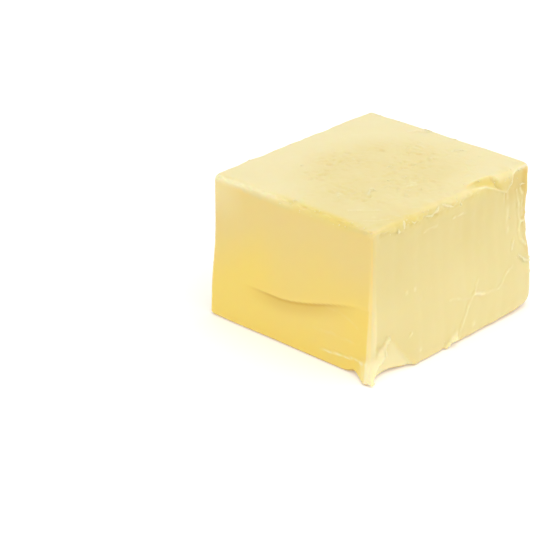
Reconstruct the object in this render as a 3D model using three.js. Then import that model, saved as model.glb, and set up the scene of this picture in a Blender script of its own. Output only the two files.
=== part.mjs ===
import * as THREE from 'three';
import { mergeVertices } from 'three/addons/utils/BufferGeometryUtils.js';

// Block of butter
// A wrapped brick of butter with its first slices taken off, so that one end is a clean knife cut and
// the other faces carry the marks of the wrapper. It is one solid.
// Millimetres, Z up. X runs along the brick from the cut face to the wrapped end, Y from the near side
// to the far side. The origin is under the middle of the block, on the surface that it stands on.

// The whole block
const LENGTH = 70.5;
const WIDTH = 62.5;
const HEIGHT = 46;

// The block has slumped a little: its foot is wider than its waist, but not yet beside the cut face
const FLARE_START = 31;
const FLARE_FULL = 7;
const NEAR_FLARE = 2.7;
const FAR_FLARE = 1.6;
const END_FLARE = 1.9;
const CUT_HOLLOW = 0.45;
const TOP_CROWN = 0.35;
const SIDE_WAVE = 0.16;
const SIDE_WAVE_LENGTH = 21;
const UPRIGHT_TO = -18;

// The knife dragged the corner between the cut face and the near side out into a small foot
const FOOT_DRAG = 2.9;
const FOOT_SPREAD = 2.1;
const FOOT_HEIGHT = 7;
const FOOT_TOE = 2;
const FOOT_WIDTH = 6.5;

// The lip that hangs over the near side along the top edge, with one broad lobe near the cut face
const LIP_DEPTH = 2.2;
const LIP_DEPTH_AT_ENDS = 0.7;
const LIP_TAPER = { start: 24, end: 35 };
const LIP_OUT = 0.45;
const LIP_EDGE = 0.35;
const LIP_LOBE = { x: -23.4, width: 2.3, drop: 1.2 };
const LIP_RAG = 0.55;
const LIP_RAG_LENGTH = 9;

// The scoop pressed into the top edge of the near side, and the flake that it pushed up at its end
const SCOOP_START = 4;
const SCOOP_END = 22.4;
const SCOOP_REACH = 5.2;
const SCOOP_DEPTH = 1.7;
const FLAKE_X = 22.6;
const FLAKE_WIDTH = 1.7;
const FLAKE_DROP = 4.1;
const FLAKE_OUT = 0.75;
const FLAKE_CURL = { x: 23.6, width: 2.6 };

// The fold of the wrapper pressed into the near side beside the cut face, a triangle standing on the base
const FOLD_APEX = { x: -28.8, z: 11.8 };
const FOLD_LEFT = -34.2;
const FOLD_RIGHT = -19;
const FOLD_DEPTH = 1.5;
const FOLD_REACH = 7;

// The step that the knife left across the cut face when it was pushed on
const KNIFE_STEP = 0.4;
const KNIFE_STEP_NEAR = 21.6;
const KNIFE_STEP_FAR = 14.2;
const KNIFE_EDGE = 0.5;
const KNIFE_RISE = 0.6;
const KNIFE_FADE = { start: 4, end: 20 };

// The triangles are as short as the relief under them asks for, and a band of them follows each edge
const COARSEST = 7;
const EDGE_BAND = 1.5;
const EDGE_GRAIN = 2.6;
const BASE_GRAIN = 4.2;
const FINE_GRAIN = 1.15;
const GRAIN_PER_WIDTH = 2;
const GRAIN_PER_RADIUS = 0.7;
const GRAIN_GROWTH = 1.4;
const CREST_PULL = 0.35;
const SLIMMEST = 0.22;

const BUTTER = new THREE.MeshStandardMaterial({
  name: 'butter',
  color: 0xf3e09f,
  roughness: 0.45,
  metalness: 0,
});

// Sides of the brick: the outward direction, how far out the side lies, and its distance from the opposite one
const SIDES = {
  cut: { out: new THREE.Vector3(-1, 0, 0), reach: LENGTH / 2, span: LENGTH },
  end: { out: new THREE.Vector3(1, 0, 0), reach: LENGTH / 2, span: LENGTH },
  near: { out: new THREE.Vector3(0, -1, 0), reach: WIDTH / 2, span: WIDTH },
  far: { out: new THREE.Vector3(0, 1, 0), reach: WIDTH / 2, span: WIDTH },
  top: { out: new THREE.Vector3(0, 0, 1), reach: HEIGHT, span: HEIGHT },
  base: { out: new THREE.Vector3(0, 0, -1), reach: 0, span: HEIGHT },
};

// Edges of the brick: the two sides that meet, the side its length is measured from, the radius at that
// side and at the other end, and the power of its section, 2 for a round and near 1 for a flat bevel
const EDGES = [
  { sides: ['near', 'top'], from: 'cut', radii: [0.9, 1.6], power: 1.7 },
  { sides: ['far', 'top'], from: 'cut', radii: [2.4, 1.6], power: 2 },
  { sides: ['near', 'base'], from: 'cut', radii: [0.9, 2.4], power: 2 },
  { sides: ['far', 'base'], from: 'cut', radii: [1.4, 2.6], power: 2 },
  { sides: ['cut', 'top'], from: 'near', radii: [1.1, 2.8], power: 1.7 },
  { sides: ['end', 'top'], from: 'near', radii: [1.6, 1.8], power: 2 },
  { sides: ['cut', 'base'], from: 'near', radii: [0.8, 1.2], power: 2 },
  { sides: ['end', 'base'], from: 'near', radii: [6.5, 3], power: 2 },
  { sides: ['cut', 'near'], from: 'base', radii: [1.9, 0.8], power: 1.15 },
  { sides: ['cut', 'far'], from: 'base', radii: [1.5, 2.2], power: 2 },
  { sides: ['end', 'near'], from: 'base', radii: [4.2, 2.4], power: 2 },
  { sides: ['end', 'far'], from: 'base', radii: [3, 2], power: 2 },
];
const CORNER_MIX = 3;

const { lerp, smoothstep } = THREE.MathUtils;
const fall = (value, start, end) => 1 - smoothstep(value, start, end);
const hump = (value, centre, width) => Math.exp(-(((value - centre) / width) ** 2));

// Points on the sides of the brick
const onTop = (x, y) => new THREE.Vector3(x, y, HEIGHT);
const onNear = (x, z) => new THREE.Vector3(x, -WIDTH / 2, z);
const onFar = (x, z) => new THREE.Vector3(x, WIDTH / 2, z);
const onCut = (y, z) => new THREE.Vector3(-LENGTH / 2, y, z);
const onEnd = (y, z) => new THREE.Vector3(LENGTH / 2, y, z);

// How far a point lies in from one side
function inFrom(side, point) {
  return SIDES[side].reach - point.dot(SIDES[side].out);
}

// An uneven line: three waves whose lengths never come into step
function uneven(along, length, start) {
  const turn = (2 * Math.PI * along) / length;
  const waves = Math.sin(turn + start) + 0.6 * Math.sin(2.3 * turn + 2 * start) + 0.4 * Math.sin(4.1 * turn + 5);
  return waves / 2;
}

function nearestOnLine(point, line) {
  let nearest = line[0];
  for (let i = 1; i < line.length; i += 1) {
    const stretch = new THREE.Line3(line[i - 1], line[i]);
    const candidate = stretch.closestPointToPoint(point, true, new THREE.Vector3());
    if (candidate.distanceTo(point) < nearest.distanceTo(point)) {
      nearest = candidate;
    }
  }
  return nearest;
}

// A ridge where butter was pressed into a crease of the wrapper
function ridge(line, width, height) {
  return {
    grain: GRAIN_PER_WIDTH * width,
    crest: (point) => nearestOnLine(point, line),
    distance: (point) => nearestOnLine(point, line).distanceTo(point) - width,
    offset: (point) => height * hump(nearestOnLine(point, line).distanceTo(point), 0, width),
  };
}

// A small pit left by an air bubble, or with a negative depth a crumb that stands up
function pit(at, radius, depth) {
  return {
    grain: Math.max(FINE_GRAIN, GRAIN_PER_RADIUS * radius),
    crest: () => at,
    distance: (point) => point.distanceTo(at) - radius,
    offset: (point) => -depth * hump(point.distanceTo(at), 0, radius),
  };
}

// A stretch of the bottom edge that is lifted off the surface
function notch(at, radius, height) {
  return {
    ...pit(at, radius, 0),
    lift: (point) => height * hump(point.distanceTo(at), 0, radius),
  };
}

// Creases of the near side
const NEAR_CREASES = [
  ridge([onNear(33.5, 15.3), onNear(31.5, 15.9), onNear(28.7, 18.4)], 0.6, 0.45),
  ridge([onNear(25.4, 16.1), onNear(18.6, 11.6), onNear(14, 11.7), onNear(7.5, 13.6)], 0.55, 0.45),
  ridge([onNear(7.5, 13.6), onNear(3.1, 12.9), onNear(-3.4, 15.4)], 0.5, 0.3),
  ridge([onNear(10, 17.2), onNear(7.5, 13.6), onNear(4.1, 9.8), onNear(1, 2.5), onNear(0.6, 0)], 0.55, 0.5),
  ridge([onNear(29.6, 38.5), onNear(30.2, 32.9), onNear(31, 28.6)], 0.6, 0.3),
  ridge([onNear(33.2, 28.6), onNear(30.3, 27.2), onNear(30.2, 24.2), onNear(32.5, 20.8)], 0.6, 0.3),
  ridge([onNear(26, 21.4), onNear(27.1, 23.6)], 0.5, 0.35),
  ridge([onNear(FOLD_APEX.x, FOLD_APEX.z), onNear(-31.4, 8), onNear(FOLD_LEFT, 0.8)], 0.6, 0.7),
];

// Creases of the sides that the wrapper's folds lay on: the long seam and the folded ends
const FAR_CREASES = [
  ridge([onFar(-34, 17), onFar(-12, 15.6), onFar(10, 17.2), onFar(34, 16)], 0.8, 0.45),
  ridge([onFar(-19, 0), onFar(-24, 9), onFar(-21, 19)], 0.8, 0.4),
  ridge([onFar(8, 17), onFar(14, 27), onFar(13, 38)], 0.8, 0.35),
];
const END_CREASES = [
  ridge([onEnd(-30, 43), onEnd(-14, 26), onEnd(-9, 9)], 0.75, 0.5),
  ridge([onEnd(30, 43), onEnd(15, 27), onEnd(8, 9)], 0.8, 0.5),
  ridge([onEnd(-29, 5), onEnd(-9, 9), onEnd(8, 9), onEnd(29, 4)], 0.8, 0.45),
];

// Marks of the cut face: a fine arc and a low line that the knife drew
const CUT_MARKS = [
  ridge([onCut(-13.4, 17.6), onCut(-17.6, 17.9), onCut(-21.3, 17.1), onCut(-25.4, 15)], 0.5, 0.25),
  ridge([onCut(-12, 3.8), onCut(-17.8, 4.5), onCut(-29.5, 5)], 0.5, 0.35),
];

// Pits and crumbs of the top
const TOP_PITS = [
  pit(onTop(-1.9, -17.1), 0.9, -0.5),
  pit(onTop(-0.6, -15.8), 0.8, 0.45),
  pit(onTop(-13.4, -11.6), 0.9, 0.4),
  pit(onTop(-22.4, -7.3), 0.8, 0.4),
  pit(onTop(16.9, -8.1), 0.9, -0.35),
  pit(onTop(25.5, -9.2), 0.9, -0.35),
  pit(onTop(2.7, -4.5), 0.8, 0.35),
  pit(onTop(31.6, 6.8), 1, -0.55),
  pit(onTop(-25, 13.7), 0.8, 0.35),
];

// A crumb at the foot, one on the corner that the knife left, and two nicks in the rim over the cut face
const EDGE_MARKS = [
  pit(onNear(-1.9, 2.1), 1.5, -0.75),
  pit(onCut(-WIDTH / 2 + 1, 21), 0.8, -0.4),
  pit(onTop(-LENGTH / 2, 0.4), 1.6, 0.6),
  pit(onTop(-LENGTH / 2, -4.4), 1.6, 0.4),
];

// Places where the bottom edge doesn't reach down to the surface that the block stands on
const NOTCHES = [
  notch(onNear(-26.5, 0), 3.6, 0.7),
  notch(onNear(-1.9, 0), 1.8, 0.9),
  notch(onCut(-24.5, 0), 2, 1.1),
  notch(onFar(11, 0), 3, 0.7),
];

const MARKS = [
  ...NEAR_CREASES, ...FAR_CREASES, ...END_CREASES, ...CUT_MARKS, ...TOP_PITS, ...EDGE_MARKS, ...NOTCHES,
];

// How far down the near side the lip hangs, measured along the block
function lipDrop(x) {
  const middleShare = fall(Math.abs(x), LIP_TAPER.start, LIP_TAPER.end);
  const even = lerp(LIP_DEPTH_AT_ENDS, LIP_DEPTH, middleShare);
  const lobe = LIP_LOBE.drop * hump(x, LIP_LOBE.x, LIP_LOBE.width);
  const flake = FLAKE_DROP * hump(x, FLAKE_X, FLAKE_WIDTH);
  return even + lobe + flake + LIP_RAG * uneven(x, LIP_RAG_LENGTH, 0.7) * middleShare;
}

// The lip stands out most at its lower border and ends there in a step
function lipOut(point) {
  const drop = lipDrop(point.x);
  const down = HEIGHT - point.z;
  const out = LIP_OUT + FLAKE_OUT * hump(point.x, FLAKE_CURL.x, FLAKE_CURL.width);
  return out * Math.min(down / drop, 1) * fall(down, drop - LIP_EDGE, drop + LIP_EDGE);
}

// The scoop grows deeper along the edge and stops short at the flake
function scoopDepth(point) {
  const along = smoothstep(point.x, SCOOP_START, SCOOP_END - 3) * fall(point.x, SCOOP_END - 1, SCOOP_END + 1);
  const fromEdge = inFrom('near', point) + inFrom('top', point);
  return SCOOP_DEPTH * along * fall(fromEdge, 0, SCOOP_REACH) ** 1.5;
}

// The fold's print is deepest at the base and runs out at its apex
function foldDepth(point) {
  const height = point.z / FOLD_APEX.z;
  const left = lerp(FOLD_LEFT, FOLD_APEX.x, height);
  const right = lerp(FOLD_RIGHT, FOLD_APEX.x, height);
  const inside = smoothstep(point.x, left - 0.3, left + 0.5) * fall(point.x, right - 0.7, right + 0.3);
  return FOLD_DEPTH * Math.max(1 - height, 0) * inside;
}

// Under the knife's step the cut face lies a little further in
function stepDepth(point) {
  const across = (point.y + WIDTH / 2) / WIDTH;
  const line = lerp(KNIFE_STEP_NEAR, KNIFE_STEP_FAR, smoothstep(across, 0, KNIFE_RISE));
  const faded = fall(point.y, KNIFE_FADE.start, KNIFE_FADE.end);
  return KNIFE_STEP * smoothstep(line - point.z, -KNIFE_EDGE, KNIFE_EDGE) * faded;
}

// Radius and section power at a point, mixed from the edges round it
function edgeShape(point) {
  let total = 0;
  let radius = 0;
  let power = 0;
  for (const edge of EDGES) {
    const [first, second] = edge.sides;
    const gap = Math.hypot(inFrom(first, point), inFrom(second, point));
    const weight = 1 / (gap ** 2 + CORNER_MIX ** 2);
    const along = inFrom(edge.from, point) / SIDES[edge.from].span;
    total += weight;
    radius += weight * lerp(edge.radii[0], edge.radii[1], along);
    power += weight * edge.power;
  }
  return { radius: radius / total, power: power / total };
}

// A point of the sharp box brought onto the rounded one, with the direction out of it
function rounded(point) {
  const { radius, power } = edgeShape(point);
  const inner = point.clone();
  inner.x = THREE.MathUtils.clamp(point.x, radius - LENGTH / 2, LENGTH / 2 - radius);
  inner.y = THREE.MathUtils.clamp(point.y, radius - WIDTH / 2, WIDTH / 2 - radius);
  inner.z = THREE.MathUtils.clamp(point.z, radius, HEIGHT - radius);
  const away = point.clone().sub(inner);
  const sum = Math.abs(away.x) ** power + Math.abs(away.y) ** power + Math.abs(away.z) ** power;
  const place = away.clone().multiplyScalar(radius / sum ** (1 / power)).add(inner);
  return { place, out: away.normalize() };
}

// Relief of the surface at a point of the sharp box, measured outward
function relief(point, out) {
  const towardNear = Math.max(-out.y, 0);
  const towardCut = Math.max(-out.x, 0);
  let height = 0;
  for (const mark of MARKS) {
    height += mark.offset(point);
  }
  height += lipOut(point) * towardNear;
  height -= stepDepth(point) * towardCut;
  return height;
}

// How much of the dragged foot's reach a point has: all of it at the corner, none a few millimetres away
function footShare(place) {
  const fromCorner = Math.hypot(inFrom('cut', place), inFrom('near', place));
  return fall(fromCorner, FOOT_TOE, FOOT_WIDTH) * fall(place.z, FOOT_TOE / 2, FOOT_HEIGHT);
}

// The slumped form of the whole block
function slumped(place) {
  const low = fall(place.z, FLARE_FULL, FLARE_START);
  const across = place.y / (WIDTH / 2);
  const lengthwise = place.x / (LENGTH / 2);
  const clearOfCut = smoothstep(place.x, -LENGTH / 2, UPRIGHT_TO);
  const nearShare = Math.max(-across, 0) ** 2;
  const farShare = Math.max(across, 0) ** 2;
  const cutShare = Math.max(-lengthwise, 0) ** 4;
  const endShare = Math.max(lengthwise, 0) ** 4;
  const moved = place.clone();
  moved.y -= NEAR_FLARE * low * nearShare * clearOfCut;
  moved.y += FAR_FLARE * low * farShare;
  moved.y += SIDE_WAVE * uneven(place.x, SIDE_WAVE_LENGTH, 1.3) * (farShare - nearShare);
  moved.x += END_FLARE * low * endShare;
  moved.x += CUT_HOLLOW * cutShare * Math.sin((Math.PI * place.z) / HEIGHT);
  moved.x -= FOOT_DRAG * footShare(place);
  moved.y -= FOOT_SPREAD * footShare(place);
  moved.z += TOP_CROWN * (place.z / HEIGHT) ** 4 * (1 - across ** 2) * (1 - lengthwise ** 2);
  return moved;
}

function formed(point) {
  const { place, out } = rounded(point);
  const moved = slumped(place);
  moved.addScaledVector(out, relief(point, out));
  const scoop = scoopDepth(point);
  moved.y += scoop + foldDepth(point) * fall(inFrom('near', point), 0, FOLD_REACH);
  moved.z -= scoop;
  for (const { lift } of NOTCHES) {
    moved.z += lift(point);
  }
  moved.z = Math.max(moved.z, 0);
  return moved;
}

// Longest that a triangle's edge may be at a point
function wantedSize(point) {
  const gaps = Object.keys(SIDES).map((side) => inFrom(side, point)).sort((a, b) => a - b);
  const grainAtEdge = inFrom('base', point) < EDGE_BAND ? BASE_GRAIN : EDGE_GRAIN;
  const pastRound = Math.max(gaps[1] - Math.max(EDGE_BAND, edgeShape(point).radius), 0);
  let size = Math.min(COARSEST, grainAtEdge + GRAIN_GROWTH * pastRound);
  for (const mark of MARKS) {
    size = Math.min(size, mark.grain + GRAIN_GROWTH * Math.max(mark.distance(point), 0));
  }
  const fromLip = Math.hypot(inFrom('near', point), Math.max(inFrom('top', point) - lipDrop(point.x), 0));
  return Math.min(size, FINE_GRAIN + GRAIN_GROWTH * Math.max(fromLip - 0.6, 0));
}

// The crest of a mark close beside a point, unless the point lies on an edge of the box
function crestBeside(point) {
  const onEdge = Object.keys(SIDES).filter((side) => inFrom(side, point) < 0.01).length > 1;
  const mark = MARKS.find(({ crest, grain }) => crest(point).distanceTo(point) < CREST_PULL * grain);
  return mark && !onEdge ? mark.crest(point) : null;
}

// Height of a triangle as a share of its longest edge, below zero where it has turned over
function slimness(corners, up) {
  const [a, b, c] = corners;
  const longest = Math.max(a.distanceTo(b), b.distanceTo(c), c.distanceTo(a));
  const doubled = b.clone().sub(a).cross(c.clone().sub(a));
  return doubled.dot(up) / longest ** 2;
}

// Points beside a crest are drawn onto it wherever the triangles round them stay well shaped
function drawToCrests(points, triangles) {
  const around = points.map(() => []);
  for (const corners of triangles) {
    const triangle = new THREE.Triangle(...corners.map((corner) => points[corner]));
    const up = triangle.getNormal(new THREE.Vector3());
    corners.forEach((corner) => around[corner].push({ corners, up }));
  }
  points.forEach((point, number) => {
    const target = crestBeside(point);
    const before = point.clone();
    point.copy(target ?? point);
    const slimmest = Math.min(...around[number].map(({ corners, up }) => (
      slimness(corners.map((corner) => points[corner]), up)
    )));
    point.copy(slimmest < SLIMMEST ? before : point);
  });
}

const edgeName = (a, b) => (a < b ? `${a} ${b}` : `${b} ${a}`);

// A triangle turned so that its longest edge comes first
function longestFirst(triangle, points) {
  const [a, b, c] = triangle;
  const turns = [[a, b, c], [b, c, a], [c, a, b]];
  const length = (turn) => points[turn[0]].distanceTo(points[turn[1]]);
  return turns.reduce((best, turn) => (length(turn) > length(best) + 1e-9 ? turn : best));
}

// Edges to halve: each one that is too long, and the longest edge of each triangle that they touch
function edgesToHalve(triangles, points) {
  const marked = new Set();
  for (const [a, b] of triangles) {
    const middle = points[a].clone().lerp(points[b], 0.5);
    if (points[a].distanceTo(points[b]) > wantedSize(middle)) {
      marked.add(edgeName(a, b));
    }
  }
  let before = -1;
  while (marked.size > before) {
    before = marked.size;
    for (const [a, b, c] of triangles) {
      if (marked.has(edgeName(b, c)) || marked.has(edgeName(c, a))) {
        marked.add(edgeName(a, b));
      }
    }
  }
  return marked;
}

// A triangle divided at its halved edges, of which the longest is always one
function divided([a, b, c], middles) {
  const middle = middles.get(edgeName(a, b));
  if (middle === undefined) {
    return [[a, b, c]];
  }
  const left = middles.get(edgeName(c, a));
  const right = middles.get(edgeName(b, c));
  const leftHalf = left === undefined ? [[a, middle, c]] : [[a, middle, left], [left, middle, c]];
  const rightHalf = right === undefined ? [[middle, b, c]] : [[middle, b, right], [middle, right, c]];
  return [...leftHalf, ...rightHalf];
}

function refine(points, coarse) {
  let triangles = coarse.map((triangle) => longestFirst(triangle, points));
  let marked = edgesToHalve(triangles, points);
  while (marked.size > 0) {
    const middles = new Map();
    for (const name of marked) {
      const [a, b] = name.split(' ').map(Number);
      middles.set(name, points.length);
      points.push(points[a].clone().lerp(points[b], 0.5));
    }
    triangles = triangles.flatMap((triangle) => divided(triangle, middles));
    triangles = triangles.map((triangle) => longestFirst(triangle, points));
    marked = edgesToHalve(triangles, points);
  }
  return triangles;
}

// A place across the box, moved so that the outermost row of cells is as wide as the band
function banded(value, span, cells) {
  const even = span / cells;
  const sign = Math.sign(value);
  const fromMiddle = Math.abs(value);
  const inner = span / 2 - even;
  const widened = (fromMiddle * (span / 2 - EDGE_BAND)) / inner;
  return fromMiddle > inner + even / 2 ? value : sign * widened;
}

// The sharp box as shared points and triangles, in cells about as wide as they are high
function sharpBox() {
  const cells = [LENGTH, WIDTH, HEIGHT].map((size) => Math.round(size / COARSEST));
  const box = new THREE.BoxGeometry(LENGTH, WIDTH, HEIGHT, ...cells);
  box.deleteAttribute('normal');
  box.deleteAttribute('uv');
  const shared = mergeVertices(box);
  const place = shared.getAttribute('position');
  const points = Array.from({ length: place.count }, (_, i) => new THREE.Vector3(
    banded(place.getX(i), LENGTH, cells[0]),
    banded(place.getY(i), WIDTH, cells[1]),
    banded(place.getZ(i), HEIGHT, cells[2]) + HEIGHT / 2,
  ));
  const index = Array.from(shared.getIndex().array);
  const triangles = Array.from({ length: index.length / 3 }, (_, i) => index.slice(3 * i, 3 * i + 3));
  return { points, triangles };
}

function butterGeometry() {
  const { points, triangles } = sharpBox();
  const fine = refine(points, triangles);
  drawToCrests(points, fine);
  const geometry = new THREE.BufferGeometry().setFromPoints(points.map(formed));
  geometry.setIndex(fine.flat());
  geometry.computeBoundingBox();
  const middle = geometry.boundingBox.getCenter(new THREE.Vector3());
  geometry.translate(-middle.x, -middle.y, 0);
  geometry.computeVertexNormals();
  return geometry;
}

const group = new THREE.Group();
const block = new THREE.Mesh(butterGeometry(), BUTTER);
block.name = 'butter_block';
group.add(block);

export default group;
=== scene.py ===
import math
from types import SimpleNamespace

import bpy
import numpy as np
from bpy.props import FloatProperty, FloatVectorProperty, IntProperty, PointerProperty
from mathutils import Matrix, Vector, noise


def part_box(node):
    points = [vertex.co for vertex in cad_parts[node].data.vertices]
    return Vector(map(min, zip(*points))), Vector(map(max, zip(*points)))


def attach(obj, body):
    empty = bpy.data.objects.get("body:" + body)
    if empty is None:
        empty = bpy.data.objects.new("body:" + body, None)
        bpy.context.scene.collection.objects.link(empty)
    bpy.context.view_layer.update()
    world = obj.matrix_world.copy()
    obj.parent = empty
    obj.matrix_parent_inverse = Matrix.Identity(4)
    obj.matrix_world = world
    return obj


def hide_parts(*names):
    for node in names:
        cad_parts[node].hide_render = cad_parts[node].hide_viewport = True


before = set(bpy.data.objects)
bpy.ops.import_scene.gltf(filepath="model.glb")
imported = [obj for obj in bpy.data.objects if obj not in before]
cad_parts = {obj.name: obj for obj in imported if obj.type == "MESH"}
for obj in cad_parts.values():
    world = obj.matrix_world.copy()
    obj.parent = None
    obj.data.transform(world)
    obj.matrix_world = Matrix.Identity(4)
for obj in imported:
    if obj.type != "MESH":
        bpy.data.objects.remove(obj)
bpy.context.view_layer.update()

bl_info = {
    "name": "Block of butter",
    "version": (1, 0, 0),
    "blender": (4, 5, 0),
    "location": "3D View > Sidebar > Butter",
    "description": "A cut block of butter with the wrapper's prints, its loose flakes and a pale studio",
    "category": "Add Mesh",
}

MM = 0.001


def linear(hex_colour):
    """An sRGB hex colour as linear red, green and blue."""
    channels = [((hex_colour >> shift) & 255) / 255 for shift in (16, 8, 0)]
    return tuple(c / 12.92 if c <= 0.04045 else ((c + 0.055) / 1.055) ** 2.4 for c in channels)


def distance(name, description, millimetres):
    """A size in the panel, given in millimetres and kept in metres."""
    return FloatProperty(name=name, description=description, default=millimetres * MM, unit="LENGTH",
                         subtype="DISTANCE", precision=5)


def colour(name, description, hex_colour):
    """A colour in the panel, given as an sRGB hex value."""
    return FloatVectorProperty(name=name, description=description, default=linear(hex_colour), size=3,
                               subtype="COLOR", min=0, max=1)


class ButterShape(bpy.types.PropertyGroup):
    """Sizes of the block."""

    length: distance("Length", "From the cut face to the wrapped end at the waist", 70.5)
    width: distance("Width", "From the near side to the far side at the waist", 62.5)
    height: distance("Height", "From the base to the top", 46)
    flare_start: distance("Flare start", "Height from which the sides begin to spread downward", 31)
    flare_full: distance("Flare full", "Height below which the sides have spread all the way", 7)
    near_flare: distance("Near flare", "How far the near side's foot stands out", 2.7)
    far_flare: distance("Far flare", "How far the far side's foot stands out", 1.6)
    end_flare: distance("End flare", "How far the wrapped end's foot stands out", 1.9)
    upright_to: distance("Upright to", "Place along the block where the near side's flare is full", -18)
    cut_hollow: distance("Cut hollow", "How hollow the knife left the cut face", 0.45)
    top_crown: distance("Top crown", "How much the middle of the top stands up", 0.35)
    side_wave: distance("Side wave", "How far the long sides wander from straight", 0.16)
    foot_drag: distance("Foot drag", "How far the knife dragged the near bottom corner outward", 2.9)
    foot_spread: distance("Foot spread", "How far that corner is dragged towards the near side", 2.1)
    foot_height: distance("Foot height", "Height of the dragged corner", 7)
    foot_toe: distance("Foot toe", "Width of the dragged corner's blunt toe", 2)
    foot_width: distance("Foot width", "Width of the dragged corner where it joins the block", 6.5)
    lip_depth: distance("Lip depth", "How far the lip hangs down the near side", 2.2)
    lip_out: distance("Lip out", "How far the lip stands out from the near side", 0.38)
    lip_edge: distance("Lip edge", "Half the height of the step at the lip's lower border", 0.42)
    scoop_depth: distance("Scoop depth", "Depth of the scoop pressed into the near top edge", 1.1)
    flake_out: distance("Flake out", "How far the flake at the lip's tip stands out", 0.75)
    fold_depth: distance("Fold depth", "Depth of the wrapper fold's print at the base", 1.5)
    fold_reach: distance("Fold reach", "How far into the block that print reaches", 7)
    knife_step: distance("Knife step", "Height of the step across the cut face", 0.27)
    middle_along: distance("Middle along", "Where the middle of the sunk block's box lies along it", 0.19)
    middle_across: distance("Middle across", "Where the middle of that box lies across the block", -0.76)
    pebble_height: distance("Pebbling", "Height of the grain pressed into the top", 0.28)
    line_wander: distance("Line wander", "How far creases wander from their drawn lines", 0.45)


class ButterMesh(bpy.types.PropertyGroup):
    """Fineness of the block's mesh."""

    cells_along: IntProperty(name="Cells along", description="Cells along the block", default=156, min=8)
    cells_across: IntProperty(name="Cells across", description="Cells across the block", default=132, min=8)
    cells_up: IntProperty(name="Cells up", description="Cells from the base to the top", default=100, min=8)
    crumb_seed: IntProperty(name="Crumb seed", description="Start of the crumbs' random draws", default=7)
    crumb_share: FloatProperty(name="Crumbs", description="Crumbs as a share of the usual number",
                               default=1, min=0)


class ButterColours(bpy.types.PropertyGroup):
    """Colours of the butter and the studio."""

    top: colour("Top", "Pale butter where the wrapper lay on the top", 0xEBDCA0)
    top_rich: colour("Top, rich", "The same where the surface is a little richer", 0xE9D899)
    # Sides: painted shade, darker towards the top and paler towards the base, as the light falls on them
    side_high_shaded: colour("Side, high", "Pale butter of the wrapped sides under the top", 0xE1D08F)
    side_low: colour("Side, low", "The same towards the base", 0xE8D99C)
    cut_high: colour("Cut face, high", "Fresh butter where the knife went in", 0xEAD285)
    # Low down the cut face is yellower, as richer fresh butter, and lighter, as painted light thrown up from
    # below
    cut_low_rich_and_lit: colour("Cut face, low", "The same low down, where it is richest", 0xF2D76D)
    smeared: colour("Smeared", "Soft rich butter in the scoop and the smears", 0xE9D57A)
    # Painted shade in the knife's groove and under its step, in the recess, the top's pits and by the wrapped
    # end
    groove: colour("Groove", "Deep butter in the knife's groove and in hollows", 0xDDB94F)
    # Also the painted highlights on crests and the lip's lower border, and the painted sheen towards the
    # top's edges
    thin: colour("Thin edges", "Pale butter on creases, flakes and bevels", 0xF6EBBE)
    # Painted shade where the block curls under to its base, by the table
    under: colour("Underneath", "Damp butter where the block curls under to its base", 0xCFAA4E)
    floor: colour("Floor", "Plain white studio floor", 0xF4F3F1)
    light: colour("Light", "Colour of the studio light", 0xFFFFFF)


class ButterStudio(bpy.types.PropertyGroup):
    """Camera and light of the studio."""

    focal_length: FloatProperty(name="Focal length", description="Lens, in millimetres on a 36 mm sensor",
                                default=140, min=10, unit="CAMERA")
    azimuth: FloatProperty(name="Azimuth", description="Turn of the camera from the near side, negative to "
                           "the cut face", default=math.radians(-46.525), subtype="ANGLE", unit="ROTATION")
    elevation: FloatProperty(name="Elevation", description="How steeply the camera looks down",
                             default=math.radians(25.233), subtype="ANGLE", unit="ROTATION")
    place: FloatVectorProperty(name="Camera place", description="Where the camera stands", size=3,
                               default=(-0.43904, -0.37625, 0.28394), subtype="TRANSLATION", unit="LENGTH")
    softbox_place: FloatVectorProperty(name="Softbox place", description="Where the softbox hangs", size=3,
                                       default=(-0.05, -0.3, 0.82), subtype="TRANSLATION", unit="LENGTH")
    softbox_size: FloatProperty(name="Softbox size", description="Side of the square softbox", default=0.6,
                                unit="LENGTH", subtype="DISTANCE")
    floor_size: FloatProperty(name="Floor size", description="Side of the square floor", default=4,
                              unit="LENGTH", subtype="DISTANCE")
    sky: FloatProperty(name="Sky", description="Strength of the light from all round", default=0.82, min=0)
    key: FloatProperty(name="Softbox", description="Power of the softbox over the block, in watts",
                       default=2.25, min=0, unit="POWER")
    floor_glow: FloatProperty(name="Floor glow", description="Light of the lit studio table's own",
                              default=0.26, min=0)


# Numbers

def smooth(value, start, end):
    """0 before start, 1 after end, and a smooth rise between them."""
    share = np.clip((value - start) / (end - start), 0, 1)
    return share * share * (3 - 2 * share)


def fall(value, start, end):
    """1 before start, 0 after end."""
    return 1 - smooth(value, start, end)


def hump(value, centre, width):
    """1 at the centre and falling away on both sides like a bell."""
    return np.exp(-(((value - centre) / width) ** 2))


def mixed(first, second, share):
    """A value between two, by share."""
    return first + (second - first) * share


def uneven(along, length, start):
    """An uneven line: three waves whose lengths never come into step."""
    turn = 2 * np.pi * along / length
    return (np.sin(turn + start) + 0.6 * np.sin(2.3 * turn + 2 * start) + 0.4 * np.sin(4.1 * turn + 5)) / 2


def grain(at, size, layer):
    """Noise from about -0.6 to 0.6 with lumps of a size, a number or one for each direction."""
    scaled = at / np.array(size, float) + 17.3 * layer
    return np.array([noise.noise(place) for place in scaled.tolist()])


def waves(along, rows):
    """Height of an uneven line of several waves, one row each of length, height and start."""
    return sum(height * uneven(along, length, start) for length, height, start in rows)


def lumps(at, rows):
    """Height of lumps of several sizes, one row each of size, height and the layer of the noise."""
    return sum(height * grain(at, size, layer) for size, height, layer in rows)


def in_mm(group):
    """The sizes of a property group as plain numbers in millimetres."""
    return SimpleNamespace(**{name: getattr(group, name) / MM for name in group.__annotations__})


# Sides and edges of the block

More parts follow.
